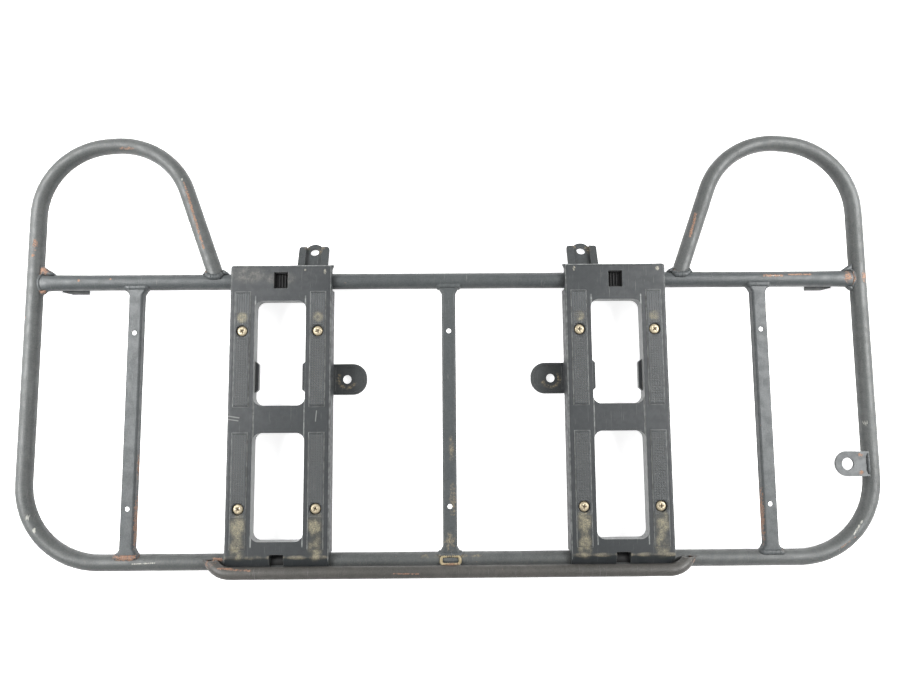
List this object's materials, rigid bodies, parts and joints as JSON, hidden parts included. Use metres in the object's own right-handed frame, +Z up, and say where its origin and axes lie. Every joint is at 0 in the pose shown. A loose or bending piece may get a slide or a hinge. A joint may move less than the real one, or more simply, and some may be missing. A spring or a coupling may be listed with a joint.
{
  "type": "atv rear cargo rack",
  "caption": "Flat rear cargo rack: bent outer tube with front hoops, cross tube, pressed channel bars, screwed ladder-shaped covers, raised rear bar and mounting brackets.",
  "frame": {"origin": "middle of the underside of the bounding box, with the load side up", "axes": "+X to the rack's right, +Y from the raised rear bar towards the seat, +Z up out of the load side"},
  "size_m": [1.019, 0.5268, 0.0543],
  "materials": {
    "painted_steel": "satin black paint, worn and scuffed, with rust at welds",
    "cover_plastic": "fine grained black plastic, dusty and scuffed on the raised strips",
    "zinc_steel": "dull yellow zinc plating"
  },
  "bodies": {
    "root": {"outer_frame_tube": "painted_steel", "cross_tube": "painted_steel", "left_outer_bar": "painted_steel", "right_outer_bar": "painted_steel", "left_cover_outer_bar": "painted_steel", "right_cover_outer_bar": "painted_steel", "left_cover_inner_bar": "painted_steel", "right_cover_inner_bar": "painted_steel", "centre_bar": "painted_steel", "rear_stop_bar": "painted_steel", "stop_bar_stay": "painted_steel", "left_cover": "cover_plastic", "right_cover": "cover_plastic", "left_cover_screws": "zinc_steel", "right_cover_screws": "zinc_steel", "left_cover_nuts": "zinc_steel", "right_cover_nuts": "zinc_steel", "left_front_bracket": "painted_steel", "right_front_bracket": "painted_steel", "left_side_bracket": "painted_steel", "right_side_bracket": "painted_steel", "left_stay_tab": "painted_steel", "right_stay_tab": "painted_steel", "right_side_tab": "painted_steel"}
  },
  "joints": []
}
